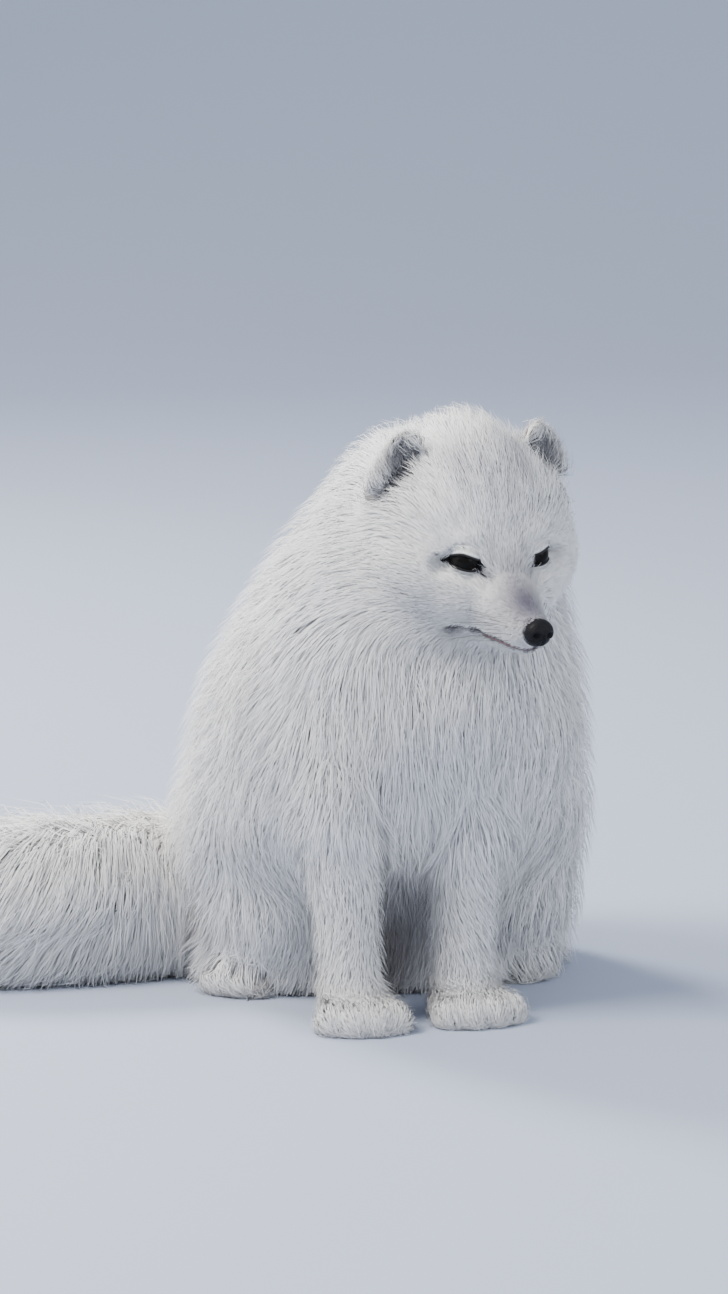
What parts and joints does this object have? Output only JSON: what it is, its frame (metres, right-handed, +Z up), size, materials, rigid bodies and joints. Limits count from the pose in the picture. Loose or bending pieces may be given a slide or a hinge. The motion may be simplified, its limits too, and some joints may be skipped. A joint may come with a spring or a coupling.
{
  "type": "arctic fox",
  "caption": "Seated arctic fox in thick white winter coat, head turned a little, tail laid out beside it; still life-size animal model.",
  "frame": {"origin": "on the floor, below the middle of the whole fox's bounding box, tail included", "axes": "+Z up, the fox faces -Y, its left side is +X, and its tail lies along -X"},
  "size_m": [0.5204, 0.3736, 0.399],
  "materials": {
    "winter_fur": "long, soft, dense white fur, cream and pale grey in places",
    "nose_leather": "moist black pebbled nose pad",
    "eye": "wet, very dark eye"
  },
  "bodies": {
    "root": {"head": "winter_fur", "muzzle": "winter_fur", "lower_jaw": "winter_fur", "nose": "nose_leather", "eye_left": "eye", "eye_right": "eye", "ear_left": "winter_fur", "ear_right": "winter_fur", "neck": "winter_fur", "chest": "winter_fur", "trunk": "winter_fur", "hindquarters": "winter_fur", "thigh_left": "winter_fur", "thigh_right": "winter_fur", "hind_paw_left": "winter_fur", "hind_paw_right": "winter_fur", "foreleg_left": "winter_fur", "foreleg_right": "winter_fur", "forepaw_left": "winter_fur", "forepaw_right": "winter_fur", "tail_root": "winter_fur", "tail_middle": "winter_fur", "tail_tip": "winter_fur"}
  },
  "joints": []
}
